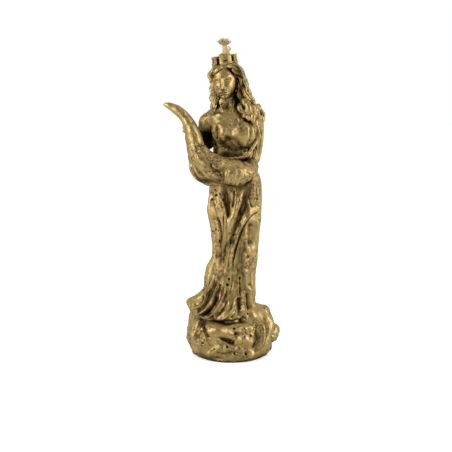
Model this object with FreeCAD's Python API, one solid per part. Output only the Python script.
"""Cast figure candle: a robed woman with a tower crown who cradles a horn of plenty, on a rock plinth.

Millimetres, +Z up, the figure faces -Y. The origin is the centre of the flat foot that the candle stands on.
"Left" and "right" in names are the figure's own, so her right side is at -X.

The wick runs from the foot to the crown, and every piece that it passes through is cast round it.
Each sculpted form is a solid of its own, and neighbours meet face to face: a new piece is cut back by the
pieces that are already in place.
"""

import FreeCAD
import Part

import math
import os

V = FreeCAD.Vector

# Driving dimensions
TOTAL_HEIGHT = 160.0  # from the foot to the tip of the frayed wick
FOOT_A, FOOT_B = 16.5, 15.5  # half width and half depth of the flat foot
PLINTH_A, PLINTH_B = 21.8, 18.6  # the same at the plinth's widest level
HEM_Z = 24.0  # where the gown meets the rock
HIP_Z = 78.0
WAIST_Z = 92.0  # the joint between the skirt and the bodice
BUST_Z = 115.0
NECK_Z = 126.5
HEAD = V(-2.0, -0.6, 139.3)  # centre of the head
HEAD_AXES = (6.9, 8.2, 9.6)  # its half width, half depth and half height
HEAD_ROLL = 8.0  # degrees, towards her right shoulder
HEAD_TURN = 14.0  # degrees, towards her right side
CROWN = V(-2.6, 0.3, 147.0)  # centre of the crown's lower edge
CROWN_R = 6.6
CROWN_WALL = 1.5
BAND_H = 2.6
TOWER_H = 4.0
TOWERS = 5
TOWER_W = 5.4
FIRST_TOWER = -12.0  # degrees from +X, about the crown's own axis
WICK_R = 1.3
WICK_FOOT = V(1.8, 0.6, 0.4)  # trimmed just above the foot's plane
WICK_CROWN = V(-1.1, 0.2, 153.0)
WICK_TOP = V(-1.9, 0.0, 157.0)

RING_POINTS = 16
SMALLEST_SOLID = 0.8  # mm3, anything smaller that a cut leaves is a sliver

placed = {}


def ellipse_ring(z, cx, cy, a, b, folds=0, depth=0.0, phase=0.0):
    """A closed smooth ring at height z, with an optional wave of folds in its radius."""
    points = []
    for i in range(RING_POINTS):
        t = 2 * math.pi * i / RING_POINTS
        swell = 1 + depth * math.cos(folds * t + phase)
        points.append(V(cx + a * swell * math.cos(t), cy + b * swell * math.sin(t), z))
    return closed_curve(points)


def closed_curve(points):
    curve = Part.BSplineCurve()
    curve.interpolate(points, PeriodicFlag=True)
    return Part.Wire([curve.toShape()])


def stack(rings):
    """A solid through rings given as tuples for ellipse_ring."""
    return Part.makeLoft([ellipse_ring(*ring) for ring in rings], True)


def tube(stations, flat=1.0, side=V(0, 1, 0)):
    """A tapered tube through (x, y, z, radius) stations. flat below 1 makes it thin along side."""
    centres = [V(*s[:3]) for s in stations]
    wires = []
    for i, (x, y, z, radius) in enumerate(stations):
        before = centres[max(i - 1, 0)]
        after = centres[min(i + 1, len(centres) - 1)]
        along = (after - before).normalize()
        across = side - along * side.dot(along)
        across.normalize()
        other = along.cross(across)
        points = []
        for k in range(12):
            t = 2 * math.pi * k / 12
            points.append(
                centres[i]
                + across * (radius * flat * math.cos(t))
                + other * (radius * math.sin(t))
            )
        wires.append(closed_curve(points))
    return Part.makeLoft(wires, True)


def ellipsoid(centre, axes, roll=0.0, turn=0.0, nod=0.0):
    """roll turns it about Y, nod about X and turn about Z, in degrees, about its own centre."""
    ball = Part.makeSphere(1.0)
    stretch = FreeCAD.Matrix()
    stretch.scale(*axes)
    shape = ball.transformGeometry(stretch)
    shape.rotate(V(0, 0, 0), V(1, 0, 0), nod)
    shape.rotate(V(0, 0, 0), V(0, 1, 0), roll)
    shape.rotate(V(0, 0, 0), V(0, 0, 1), turn)
    shape.translate(centre)
    return shape


def finger(start, end, radius):
    """A straight finger with round ends."""
    along = end - start
    rod = Part.makeCylinder(radius, along.Length, start, along)
    return rod.fuse([Part.makeSphere(radius, start), Part.makeSphere(radius, end)])


def place(name, shape, against=(), keep_all=False):
    """Cuts a piece back by its neighbours, drops slivers and keeps it under its node's name."""
    for other in against:
        shape = shape.cut(placed[other])
    solids = [s for s in shape.Solids if abs(s.Volume) > SMALLEST_SOLID]
    solids.sort(key=lambda s: -abs(s.Volume))
    if not keep_all:
        solids = solids[:1]
    for solid in solids:
        if not solid.isValid():
            print("not valid:", name)
    placed[name] = solids[0] if len(solids) == 1 else Part.makeCompound(solids)


def make_wick():
    lean = WICK_TOP - WICK_CROWN
    rod = Part.makeCylinder(WICK_R, (WICK_CROWN - WICK_FOOT).Length, WICK_FOOT, WICK_CROWN - WICK_FOOT)
    knee = Part.makeSphere(WICK_R, WICK_CROWN)
    stub = Part.makeCylinder(WICK_R, lean.Length, WICK_CROWN, lean)
    place("wick", rod.fuse([knee, stub]).removeSplitter())


def make_frayed_end():
    """Loose tufts of the wick's strands, which spread from its top round a straight one."""
    tufts = [Part.makeCone(0.4, 0.3, TOTAL_HEIGHT - WICK_TOP.z, WICK_TOP, V(0, 0, 1))]
    spread = ((28, 2.6, 2.2), (100, 2.6, 1.2), (172, 4.2, 1.5), (244, 2.2, 1.6), (316, 1.6, 2.6))
    for turn, reach, rise in spread:
        outward = V(math.cos(math.radians(turn)), math.sin(math.radians(turn)), 0)
        way = outward * reach + V(0, 0, rise)
        tufts.append(Part.makeCone(0.42, 0.34, way.Length, WICK_TOP + outward * 0.86, way))
    place("wick_frayed_end", Part.makeCompound(tufts), ["wick"], keep_all=True)


def make_plinth():
    """A rounded boulder with a flat foot, and a shelf on top that the gown spreads over."""
    lumps = 5
    rings = [
        (0.0, 0.0, 0.0, FOOT_A, FOOT_B, lumps, 0.015, 0.4),
        (2.5, 0.0, 0.0, FOOT_A + 3.2, FOOT_B + 2.0, lumps, 0.02, 0.4),
        (8.0, 0.2, 0.0, PLINTH_A, PLINTH_B, lumps, 0.02, 0.7),
        (14.0, 0.2, 0.2, PLINTH_A, PLINTH_B - 0.4, lumps, 0.02, 1.1),
        (19.0, 0.4, 0.6, PLINTH_A - 1.0, PLINTH_B - 2.2, lumps, 0.02, 1.5),
        (HEM_Z - 1.0, 0.8, 0.8, PLINTH_A - 3.6, PLINTH_B - 4.4, lumps, 0.02, 1.9),
        (HEM_Z + 2.0, 1.0, 0.8, 13.6, 11.4, lumps, 0.0, 0.0),
    ]
    place("rock_plinth", stack(rings), ["wick"])
    place("side_rock", ellipsoid(V(21.4, 3.5, 10.6), (5.1, 5.4, 5.2), roll=20), ["rock_plinth"])


def make_skirt():
    pleats = 7
    rings = [
        (HEM_Z - 4.0, 0.6, 0.2, 14.8, 12.8, pleats, 0.03, 0.3),
        (HEM_Z + 3.0, 0.5, 0.0, 13.6, 12.2, pleats, 0.03, 0.5),
        (34.0, 0.4, 0.0, 12.8, 11.6, pleats, 0.025, 0.8),
        (43.0, 0.6, 0.0, 12.7, 11.2, pleats, 0.025, 1.1),
        (54.0, 2.8, 0.0, 11.4, 10.6, pleats, 0.02, 1.4),
        (66.0, 3.1, 0.0, 12.2, 10.8, pleats, 0.02, 1.6),
        (HIP_Z, 2.4, 0.0, 13.2, 11.0, pleats, 0.015, 1.8),
        (87.0, 2.2, 0.2, 12.6, 10.2, pleats, 0.01, 2.0),
        (WAIST_Z, 1.8, 0.3, 11.4, 9.4, pleats, 0.0, 0.0),
    ]
    place("gown_skirt", stack(rings), ["wick", "rock_plinth"])


def make_train():
    """The hem that sweeps out over the rock on her right side."""
    flare = tube(
        [(-7.0, -1.0, 44.0, 4.0), (-10.0, -2.0, 36.0, 4.8), (-14.0, -3.2, 30.0, 4.6), (-18.6, -4.0, 25.2, 3.6)],
        flat=1.25,
    )
    place("gown_train", flare, ["gown_skirt", "rock_plinth"])


def make_hem_folds():
    """Four rolls of cloth that run down the front of the gown and spread over the rock."""
    routes = (
        ((-5.6, -10.6, 37.0), (-9.6, -12.6, 29.0), (-15.6, -13.4, 24.0)),
        ((-2.4, -11.4, 35.0), (-5.0, -13.4, 28.0), (-10.2, -15.2, 22.6)),
        ((2.0, -11.6, 33.0), (0.8, -13.4, 27.0), (-3.6, -15.6, 22.0)),
        ((7.6, -10.6, 34.0), (8.0, -12.4, 27.6), (8.6, -14.6, 22.4)),
    )
    rolls = []
    for route in routes:
        radii = (1.2, 2.2, 2.0)
        roll = tube([(*point, radius) for point, radius in zip(route, radii)], flat=0.7)
        for other in ("gown_skirt", "rock_plinth", "gown_train"):
            roll = roll.cut(placed[other])
        for made in rolls:
            roll = roll.cut(made)
        rolls.append(max(roll.Solids, key=lambda s: s.Volume))
    placed["hem_folds"] = Part.makeCompound(rolls)


def make_leg_drape():
    """Her left leg, which pushes the cloth forward from hip to hem."""
    leg = tube([(9.4, -5.6, 71.0, 4.6), (9.6, -7.2, 60.0, 5.4), (8.8, -7.0, 47.0, 5.2), (7.6, -7.4, 33.0, 4.8)])
    place("left_leg_drape", leg, ["gown_skirt", "rock_plinth", "hem_folds"])


def make_mantle():
    """A wrap round the hips, with an edge that falls from her left hip to her right knee."""
    grow = 1.3
    rings = [
        (48.0, 2.2, -0.2, 12.2 + grow, 11.0 + grow),
        (54.0, 2.8, -0.2, 11.7 + grow, 10.9 + grow),
        (66.0, 3.1, -0.2, 12.5 + grow, 11.1 + grow),
        (HIP_Z, 2.4, -0.2, 13.3 + grow, 11.1 + grow),
        (86.0, 2.2, 0.0, 12.7 + grow, 10.3 + grow),
        (WAIST_Z - 1.0, 1.9, 0.2, 11.9, 9.9),
    ]
    wrap = stack(rings)
    edge = Part.makeBox(80, 80, 60, V(-40, -40, -60))
    edge.rotate(V(0, 0, 0), V(0, 1, 0), -52.0)
    edge.translate(V(5.0, 0, 62.0))
    place("mantle_wrap", wrap.cut(edge), ["gown_skirt", "left_leg_drape"])


def make_bodice():
    rings = [
        (WAIST_Z, 1.8, 0.3, 11.4, 9.4),
        (99.0, 1.0, 0.2, 9.6, 8.2),
        (106.0, 1.0, -0.4, 10.0, 8.8),
        (BUST_Z, 1.0, -1.2, 11.4, 10.6),
        (120.0, 0.8, -0.2, 12.2, 9.0),
        (124.0, 0.4, 0.8, 11.2, 6.6),
        (127.0, 0.2, 1.0, 7.0, 4.8),
    ]
    place("bodice", stack(rings), ["wick"])
    girdle = tube(
        [(14.0, -4.6, 108.6, 0.8), (12.2, -8.0, 105.4, 0.9), (8.0, -9.6, 102.4, 0.9)]
        + [(2.0, -9.8, 101.4, 0.9), (-4.0, -8.6, 101.6, 0.9), (-8.0, -5.4, 102.4, 0.8)],
        side=V(0, 0, 1),
    )
    place("girdle_cord", girdle, ["bodice"])


def make_neck_and_head():
    neck = tube([(0.4, 0.8, NECK_Z - 3.5, 5.6), (0.0, 0.6, 128.6, 4.6), (-1.2, 0.4, 134.5, 4.5)])
    place("head", ellipsoid(HEAD, HEAD_AXES, roll=-HEAD_ROLL, turn=HEAD_TURN), ["wick"])
    place("neck", neck, ["wick", "bodice", "head"])


def make_hair():
    """A cap with a window for the face, side locks in front of the shoulders and a fall down the back."""
    cap = ellipsoid(HEAD + V(0.6, 1.7, 1.0), (9.5, 9.2, 9.6), roll=-HEAD_ROLL)
    window = Part.makeCylinder(1.0, 14.0, V(0, 0, 0), V(0, -1, 0))
    stretch = FreeCAD.Matrix()
    stretch.scale(6.2, 1.0, 7.6)
    window = window.transformGeometry(stretch)
    window.translate(HEAD + V(-0.9, -1.6, -1.6))
    place("hair_cap", cap.cut(window), ["wick", "head", "neck"])
    place(
        "hair_right_lock",
        tube([(-9.0, 0.0, 138.0, 2.0), (-9.2, -0.8, 131.0, 2.1), (-9.4, -2.2, 126.0, 2.2), (-9.6, -3.4, 121.5, 1.4)]),
        ["hair_cap", "neck", "bodice", "head"],
    )
    place(
        "hair_left_curls",
        tube(
            [(6.4, 0.2, 142.0, 3.0), (8.6, -0.4, 136.0, 3.8), (9.8, -1.6, 130.0, 4.2)]
            + [(11.6, -2.4, 124.0, 4.0), (11.2, -5.6, 118.0, 2.6)]
        ),
        ["hair_cap", "neck", "bodice", "head"],
    )
    place(
        "hair_back_fall",
        stack(
            [
                (108.0, 1.4, 8.6, 4.6, 2.0),
                (115.0, 1.2, 8.8, 7.8, 3.2),
                (122.0, 0.8, 7.4, 9.4, 4.0),
                (129.0, 0.0, 5.6, 9.4, 4.6),
                (136.0, -1.0, 5.4, 8.8, 5.6),
                (142.0, -1.6, 5.0, 7.4, 5.2),
            ]
        ),
        ["hair_cap", "neck", "bodice", "head", "hair_right_lock", "hair_left_curls"],
    )


def make_crown():
    """A band with upright towers, like a town wall, tilted with the head."""
    outer = Part.makeCylinder(CROWN_R, BAND_H)
    inner = Part.makeCylinder(CROWN_R - CROWN_WALL, BAND_H)
    ledge = Part.makeTorus(CROWN_R - 0.2, 0.55, V(0, 0, 0.8))
    band = outer.fuse(ledge).cut(inner)
    blocks = []
    for i in range(TOWERS):
        block = Part.makeBox(CROWN_WALL, TOWER_W, TOWER_H, V(CROWN_R - CROWN_WALL, -TOWER_W / 2, BAND_H))
        block.rotate(V(0, 0, 0), V(0, 0, 1), FIRST_TOWER + 360.0 * i / TOWERS)
        blocks.append(block)
    towers = Part.makeCompound(blocks)
    for shape in (band, towers):
        shape.rotate(V(0, 0, 0), V(0, 1, 0), -HEAD_ROLL - 1.0)
        shape.translate(CROWN)
    place("crown_band", band, ["hair_cap", "hair_back_fall", "head", "wick", "hair_left_curls"])
    place("crown_towers", towers, ["hair_cap", "hair_back_fall", "wick"], keep_all=True)


def make_right_arm():
    """The arm that cradles the horn: elbow low in front, forearm up along the horn, hand behind it."""
    upper = tube(
        [(-8.6, 1.0, 122.4, 3.6), (-11.0, 0.6, 118.0, 4.6), (-12.6, -1.4, 108.0, 3.6), (-14.4, -4.4, 97.0, 3.6)]
    )
    place("right_upper_arm", upper, ["bodice", "hair_right_lock", "girdle_cord"])
    fore = tube(
        [(-14.4, -4.8, 91.0, 3.2), (-15.2, -5.4, 94.0, 4.4), (-18.2, -7.8, 104.0, 3.4), (-20.6, -9.2, 111.6, 2.5)]
    )
    place("right_forearm", fore, ["right_upper_arm", "bodice", "gown_skirt", "mantle_wrap"])


def make_horn():
    """The horn of plenty, from its pointed tip past her right shoulder to its mouth at her left elbow."""
    horn = tube(
        [(-32.7, -12.0, 127.9, 0.5), (-30.6, -12.2, 127.4, 1.2), (-27.8, -12.5, 126.2, 1.9)]
        + [(-23.2, -13.5, 122.6, 2.9), (-19.8, -14.5, 116.6, 3.7), (-17.6, -15.6, 109.0, 4.2)]
        + [(-14.9, -16.8, 102.0, 5.2), (-9.6, -17.6, 96.7, 6.3), (-2.0, -17.8, 94.4, 7.0)]
        + [(5.0, -15.8, 94.6, 6.9), (9.4, -13.6, 95.8, 6.6)]
    )
    neighbours = ["right_forearm", "right_upper_arm", "bodice", "gown_skirt", "mantle_wrap", "girdle_cord"]
    place("horn", horn, neighbours)
    mouth, lean = V(9.6, -13.5, 95.9), V(0.82, 0.5, 0.28)
    ring = Part.makeTorus(5.9, 1.15, mouth, lean)
    place("horn_rim", ring, ["horn", "bodice", "gown_skirt", "mantle_wrap", "girdle_cord"])
    balls = ((11.6, -14.6, 99.0, 2.1), (12.6, -14.2, 94.8, 2.2), (12.6, -10.4, 97.4, 2.0), (11.8, -12.6, 91.3, 1.9))
    fruit = [Part.makeSphere(radius, V(x, y, z)) for x, y, z, radius in balls]
    neighbours = ["horn", "horn_rim", "bodice", "mantle_wrap", "gown_skirt"]
    place("horn_fruit", Part.makeCompound(fruit), neighbours, keep_all=True)


def make_right_hand():
    palm = ellipsoid(V(-20.9, -9.4, 113.8), (2.6, 1.8, 3.8), roll=-14)
    fingers = []
    for i in range(4):
        root = V(-22.0 - 0.25 * i, -9.8, 117.4 - 2.0 * i)
        fingers.append(finger(root, root + V(-1.9, -2.9, 0.5), 1.05))
    thumb = finger(V(-19.6, -9.6, 116.2), V(-16.9, -12.0, 119.6), 1.1)
    place("right_hand", palm.fuse(fingers + [thumb]), ["right_forearm", "horn"])


def make_left_arm():
    """The sleeve from shoulder to elbow, the forearm over the horn's mouth and the hand on its front."""
    folds = stack(
        [
            (101.5, 13.0, -2.0, 3.6, 4.0, 5, 0.05, 0.3),
            (107.0, 13.3, -1.4, 3.9, 4.4, 5, 0.06, 0.8),
            (114.0, 13.0, -1.0, 4.4, 5.2, 5, 0.06, 1.4),
            (119.5, 12.0, -0.4, 4.8, 5.2, 5, 0.05, 1.9),
            (124.0, 10.0, 0.4, 3.6, 3.8, 5, 0.03, 2.3),
        ]
    )
    place("left_sleeve", folds, ["bodice", "hair_left_curls", "hair_back_fall", "girdle_cord"])
    fore = tube([(13.0, -1.6, 99.4, 3.2), (13.2, -5.6, 99.6, 3.5), (13.2, -12.0, 101.0, 3.0), (10.2, -18.4, 101.0, 2.2)])
    neighbours = ["left_sleeve", "bodice", "horn", "horn_rim", "horn_fruit", "girdle_cord", "mantle_wrap", "gown_skirt"]
    place("left_forearm", fore, neighbours)
    palm = ellipsoid(V(7.6, -21.0, 99.4), (3.2, 1.5, 3.0), roll=30, turn=25)
    fingers = []
    for i in range(4):
        root = V(4.6 + 1.6 * i, -22.6 + 0.35 * i, 98.6 - 0.8 * i)
        fingers.append(finger(root, root + V(-1.6, -0.9, -5.4), 1.05))
    thumb = finger(V(5.6, -20.6, 101.0), V(2.2, -20.4, 102.6), 1.1)
    place("left_hand", palm.fuse(fingers + [thumb]), ["horn", "left_forearm", "horn_rim", "horn_fruit"])


def main():
    os.makedirs("parts", exist_ok=True)
    for old in os.listdir("parts"):
        os.remove(os.path.join("parts", old))
    make_wick()
    make_frayed_end()
    make_plinth()
    make_skirt()
    make_train()
    make_hem_folds()
    make_leg_drape()
    make_mantle()
    make_bodice()
    make_neck_and_head()
    make_hair()
    make_crown()
    make_right_arm()
    make_horn()
    make_right_hand()
    make_left_arm()
    for name, shape in placed.items():
        shape.exportStep(f"parts/{name}.step")
        print(f"{name}: {shape.Volume:.0f} mm3, {len(shape.Solids)} solids")


main()
